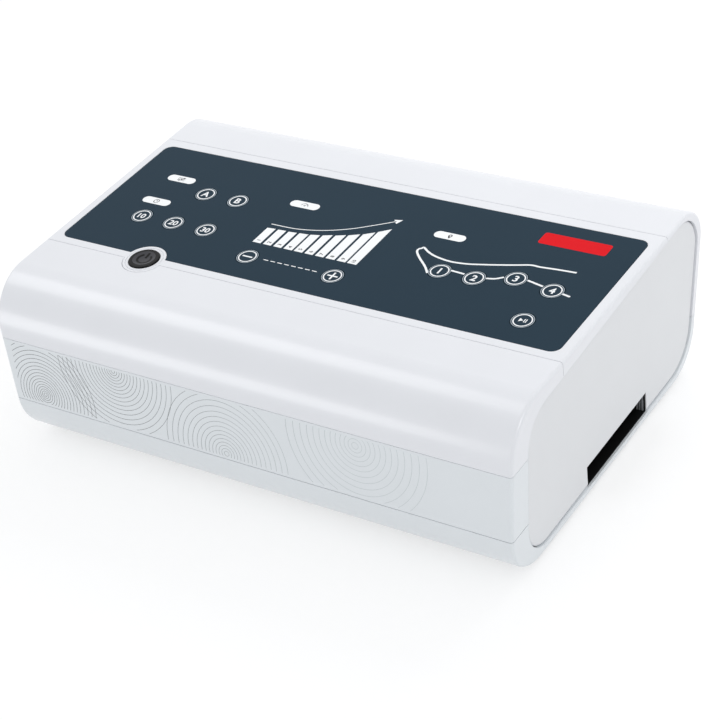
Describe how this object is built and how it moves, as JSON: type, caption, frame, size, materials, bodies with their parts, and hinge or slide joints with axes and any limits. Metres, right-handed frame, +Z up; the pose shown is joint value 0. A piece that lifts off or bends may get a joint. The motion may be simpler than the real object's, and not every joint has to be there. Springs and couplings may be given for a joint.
{
  "type": "compression therapy pump",
  "caption": "Desk-top air pump that inflates leg sleeves in turn: leaning shell, key panel, power button, hose socket at one end, compressor and rotary air distributor inside.",
  "frame": {"origin": "on the table, under the middle of the object's box", "axes": "+X to the operator's right, towards the hose socket; +Y to the rear, towards the mains inlet; +Z up"},
  "size_m": [0.3428, 0.2209, 0.1058],
  "materials": {
    "white_cover": "glossy white moulded plastic with soft wide highlights",
    "cool_white_cover": "glossy cool white moulded plastic",
    "side_panel": "satin light grey moulded plastic",
    "overlay": "satin slate film printed in white",
    "black_gloss": "polished black plastic",
    "black_matt": "matt black moulded plastic",
    "rubber": "grey moulded rubber",
    "circuit_board": "green solder mask on glass-fibre board",
    "zinc_steel": "zinc-plated steel",
    "laminated_iron": "varnished stack of iron sheets",
    "copper_winding": "enamelled copper winding",
    "cast_aluminium": "cast and machined aluminium",
    "grey_plastic": "grey moulded plastic",
    "white_plastic": "natural white moulded gear plastic",
    "hose": "grey flexible air hose"
  },
  "bodies": {
    "case": {"bottom_case": "cool_white_cover", "front_band": "cool_white_cover", "shoulder_cover": "white_cover", "panel_bezel": "white_cover", "rear_cover": "white_cover", "side_panel_left": "side_panel", "side_panel_right": "side_panel", "control_overlay": "overlay", "power_switch": "black_matt", "control_board": "circuit_board", "board_screw_1": "zinc_steel", "board_screw_2": "zinc_steel", "board_screw_3": "zinc_steel", "board_screw_4": "zinc_steel", "hose_socket": "black_matt", "mains_inlet": "black_matt", "foot_front_left": "rubber", "foot_front_right": "rubber", "foot_rear_left": "rubber", "foot_rear_right": "rubber", "case_screw_front_left": "zinc_steel", "case_screw_front_right": "zinc_steel", "case_screw_rear_left": "zinc_steel", "case_screw_rear_right": "zinc_steel", "compressor_base": "cast_aluminium", "compressor_mount_1": "rubber", "compressor_mount_2": "rubber", "compressor_mount_3": "rubber", "compressor_mount_4": "rubber", "compressor_core": "laminated_iron", "compressor_coil": "copper_winding", "compressor_cylinder": "cast_aluminium", "compressor_head": "grey_plastic", "distributor_base": "grey_plastic", "distributor_motor": "zinc_steel", "air_hose_1": "hose", "air_hose_2": "hose", "air_hose_3": "hose", "air_hose_4": "hose", "air_supply_hose": "hose", "transformer_core": "laminated_iron", "transformer_coil": "copper_winding", "power_board": "circuit_board"},
    "key_mode_a": {"key_mode_a": "overlay"},
    "key_mode_b": {"key_mode_b": "overlay"},
    "key_time_10": {"key_time_10": "overlay"},
    "key_time_20": {"key_time_20": "overlay"},
    "key_time_30": {"key_time_30": "overlay"},
    "key_pressure_minus": {"key_pressure_minus": "overlay"},
    "key_pressure_plus": {"key_pressure_plus": "overlay"},
    "key_zone_1": {"key_zone_1": "overlay"},
    "key_zone_2": {"key_zone_2": "overlay"},
    "key_zone_3": {"key_zone_3": "overlay"},
    "key_zone_4": {"key_zone_4": "overlay"},
    "key_start": {"key_start": "overlay"},
    "power_button": {"power_button": "black_gloss"},
    "piston": {"compressor_piston": "zinc_steel"},
    "rotor": {"distributor_rotor": "white_plastic"},
    "pinion": {"distributor_pinion": "white_plastic"}
  },
  "joints": [
    {"name": "press_mode_a", "type": "slide", "parent": "case", "child": "key_mode_a", "axis": [0, 0, -1], "range_m": [0, 0.0005], "stiffness_N_per_m": 400, "springref_m": -0.0005},
    {"name": "press_mode_b", "type": "slide", "parent": "case", "child": "key_mode_b", "axis": [0, 0, -1], "range_m": [0, 0.0005], "stiffness_N_per_m": 400, "springref_m": -0.0005},
    {"name": "press_time_10", "type": "slide", "parent": "case", "child": "key_time_10", "axis": [0, 0, -1], "range_m": [0, 0.0005], "stiffness_N_per_m": 400, "springref_m": -0.0005},
    {"name": "press_time_20", "type": "slide", "parent": "case", "child": "key_time_20", "axis": [0, 0, -1], "range_m": [0, 0.0005], "stiffness_N_per_m": 400, "springref_m": -0.0005},
    {"name": "press_time_30", "type": "slide", "parent": "case", "child": "key_time_30", "axis": [0, 0, -1], "range_m": [0, 0.0005], "stiffness_N_per_m": 400, "springref_m": -0.0005},
    {"name": "press_pressure_minus", "type": "slide", "parent": "case", "child": "key_pressure_minus", "axis": [0, 0, -1], "range_m": [0, 0.0005], "stiffness_N_per_m": 400, "springref_m": -0.0005},
    {"name": "press_pressure_plus", "type": "slide", "parent": "case", "child": "key_pressure_plus", "axis": [0, 0, -1], "range_m": [0, 0.0005], "stiffness_N_per_m": 400, "springref_m": -0.0005},
    {"name": "press_zone_1", "type": "slide", "parent": "case", "child": "key_zone_1", "axis": [0, 0, -1], "range_m": [0, 0.0005], "stiffness_N_per_m": 400, "springref_m": -0.0005},
    {"name": "press_zone_2", "type": "slide", "parent": "case", "child": "key_zone_2", "axis": [0, 0, -1], "range_m": [0, 0.0005], "stiffness_N_per_m": 400, "springref_m": -0.0005},
    {"name": "press_zone_3", "type": "slide", "parent": "case", "child": "key_zone_3", "axis": [0, 0, -1], "range_m": [0, 0.0005], "stiffness_N_per_m": 400, "springref_m": -0.0005},
    {"name": "press_zone_4", "type": "slide", "parent": "case", "child": "key_zone_4", "axis": [0, 0, -1], "range_m": [0, 0.0005], "stiffness_N_per_m": 400, "springref_m": -0.0005},
    {"name": "press_start", "type": "slide", "parent": "case", "child": "key_start", "axis": [0, 0, -1], "range_m": [0, 0.0005], "stiffness_N_per_m": 400, "springref_m": -0.0005},
    {"name": "press_power", "type": "slide", "parent": "case", "child": "power_button", "axis": [0, 0, -1], "range_m": [0, 0.002], "stiffness_N_per_m": 600, "springref_m": -0.001},
    {"name": "piston_stroke", "type": "slide", "parent": "case", "child": "piston", "axis": [1, 0, 0], "range_m": [-0.004, 0.004], "stiffness_N_per_m": 2000},
    {"name": "rotor_spin", "type": "hinge", "parent": "case", "child": "rotor", "pos_m": [0.07392, 0.0047, 0.0219], "axis": [0, 0, 1], "continuous": true},
    {"name": "pinion_spin", "type": "hinge", "parent": "case", "child": "pinion", "pos_m": [0.03492, 0.0047, 0.0219], "axis": [0, 0, 1], "continuous": true}
  ],
  "couplings": [
    {"joint": "pinion_spin", "follows": "rotor_spin", "ratio": -3.3333}
  ]
}
